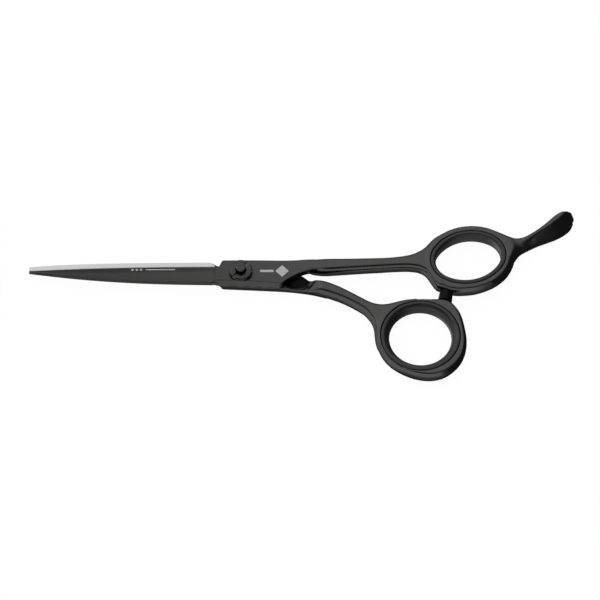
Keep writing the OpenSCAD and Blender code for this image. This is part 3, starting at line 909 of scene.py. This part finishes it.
# The plain small pieces are the CAD nodes themselves
for name, mat in (("pivot_bush", BRONZE), ("glide_washer", NYLON), ("disc_spring", TURNED),
                  ("thrust_washer", TURNED), ("nut_lock_ring", NYLON), ("bumper_stud", TURNED)):
    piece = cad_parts[name]
    if not piece.material_slots:
        piece.data.materials.append(mat)
    for material_slot in piece.material_slots:
        material_slot.material = mat


# ---------------------------------------------------- floor, light and camera
def floor_material():
    """Pale matt floor that stays bright to the camera, with only soft shadows."""
    mat, tree, place = start("studio_floor")
    diffuse = node(tree, "BsdfDiffuse", {"Color": grey(0.92)})
    glow = node(tree, "Emission", {"Color": grey(1.0), "Strength": 1.03})
    mix = node(tree, "MixShader", {0: 0.06, 1: glow.outputs[0], 2: diffuse.outputs[0]})
    node(tree, "OutputMaterial", {"Surface": mix.outputs[0]})
    return mat


FLOOR_HALF = 3000
FLOOR_Z = cad_lo.z / MM - 0.02

floor = add_mesh("studio_floor", [(-FLOOR_HALF, -FLOOR_HALF, FLOOR_Z), (FLOOR_HALF, -FLOOR_HALF, FLOOR_Z),
                                  (FLOOR_HALF, FLOOR_HALF, FLOOR_Z), (-FLOOR_HALF, FLOOR_HALF, FLOOR_Z)],
                 [[0, 1, 2, 3]])
floor.data.materials.append(floor_material())
floor.visible_glossy = False


def studio_world():
    """White to the camera; soft fields of light around the shears for everything else.

    The overhead field is a cone where the flats mirror the camera's line of sight. The others are
    to the left, in front and at the back, and fade towards the floor.
    """
    world = bpy.data.worlds.new("studio")
    bpy.context.scene.world = world
    world.use_nodes = True
    tree = world.node_tree
    tree.nodes.clear()
    sky = node(tree, "TexCoord").outputs["Generated"]
    x, y, z = node(tree, "SeparateXYZ", {0: sky}).outputs
    mirrored = (0, 0.5, 0.866)
    facing = node(tree, "VectorMath", {0: sky, 1: mirrored}, operation="DOT_PRODUCT").outputs["Value"]

    def product(first, *others):
        for other in others:
            first = calc(tree, "MULTIPLY", first, other)
        return first

    overhead = ramp(tree, facing, 0.74, 0.92)
    left = product(ramp(tree, x, -0.3, -0.65), ramp(tree, z, 0.65, 0.4))
    front = product(ramp(tree, y, 0.0, -0.35), ramp(tree, z, 0.8, 0.5),
                    ramp(tree, z, -0.7, -0.3, 0.3, 1.0), ramp(tree, x, 0.8, 0.35))
    back = product(ramp(tree, y, 0.3, 0.65), ramp(tree, z, -0.5, -0.2, 0.0, 0.75),
                   ramp(tree, x, 0.6, 0.3))
    level = overhead
    for other in (left, front, back):
        level = calc(tree, "MAXIMUM", level, other)
    level = calc(tree, "ADD", level, 0.07)
    to_camera = node(tree, "LightPath").outputs["Is Camera Ray"]
    level = calc(tree, "ADD", product(level, calc(tree, "SUBTRACT", 1.0, to_camera)), to_camera)
    background = node(tree, "Background", {"Color": grey(1.0), "Strength": level})
    node(tree, "OutputWorld", {"Surface": background.outputs[0]})


def aim_along(obj, place, away):
    """Puts a light or camera at place, looking against the direction away."""
    obj.location = place
    obj.rotation_mode = "QUATERNION"
    obj.rotation_quaternion = away.to_track_quat("Z", "Y")
    bpy.context.scene.collection.objects.link(obj)


def key_softbox():
    lamp = bpy.data.lights.new("key_softbox", "AREA")
    lamp.energy = 0.8
    lamp.size = 0.5
    place = Vector((-0.5, 0.35, 0.7))
    middle = (cad_lo + cad_hi) / 2
    aim_along(bpy.data.objects.new("key_softbox", lamp), place, place - middle)


AIM = Vector((18.65, -9.0, 0)) * MM      # point of the shears in the middle of the picture
ELEVATION = math.radians(60)             # the camera's height above the shears' plane
FRAME_WIDTH = 0.1885                     # what the picture spans at that point, in metres


def photo_camera():
    """Long lens that looks down at the shears from the front, as the photo does."""
    lens = bpy.data.cameras.new("camera")
    lens.lens = 200
    lens.sensor_width = 36
    away = Vector((0, -math.cos(ELEVATION), math.sin(ELEVATION)))
    camera = bpy.data.objects.new("camera", lens)
    aim_along(camera, AIM + away * FRAME_WIDTH * lens.lens / lens.sensor_width, away)
    bpy.context.scene.camera = camera


studio_world()
key_softbox()
photo_camera()
bpy.context.scene.view_settings.view_transform = "Standard"
